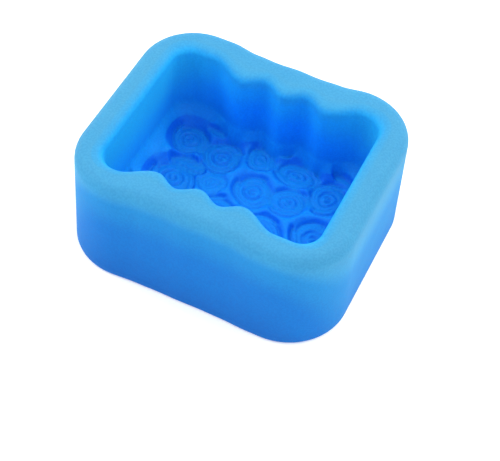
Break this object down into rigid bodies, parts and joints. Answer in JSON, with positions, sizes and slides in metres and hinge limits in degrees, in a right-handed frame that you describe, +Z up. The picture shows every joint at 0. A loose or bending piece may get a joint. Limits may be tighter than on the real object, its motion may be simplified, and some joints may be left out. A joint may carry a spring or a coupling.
{
  "type": "silicone soap mould",
  "caption": "One-bar soap mould cast in thick silicone, open at the top, with scalloped long walls and a floor that carries a relief of roses and a leaf",
  "frame": {"origin": "centre of the flat base", "axes": "+Z up out of the open mouth, +X along the length, +Y across the width"},
  "size_m": [0.1014, 0.0868, 0.0428],
  "materials": {
    "silicone": "satin, slightly translucent"
  },
  "bodies": {
    "root": {"mould_body": "silicone"}
  },
  "joints": []
}
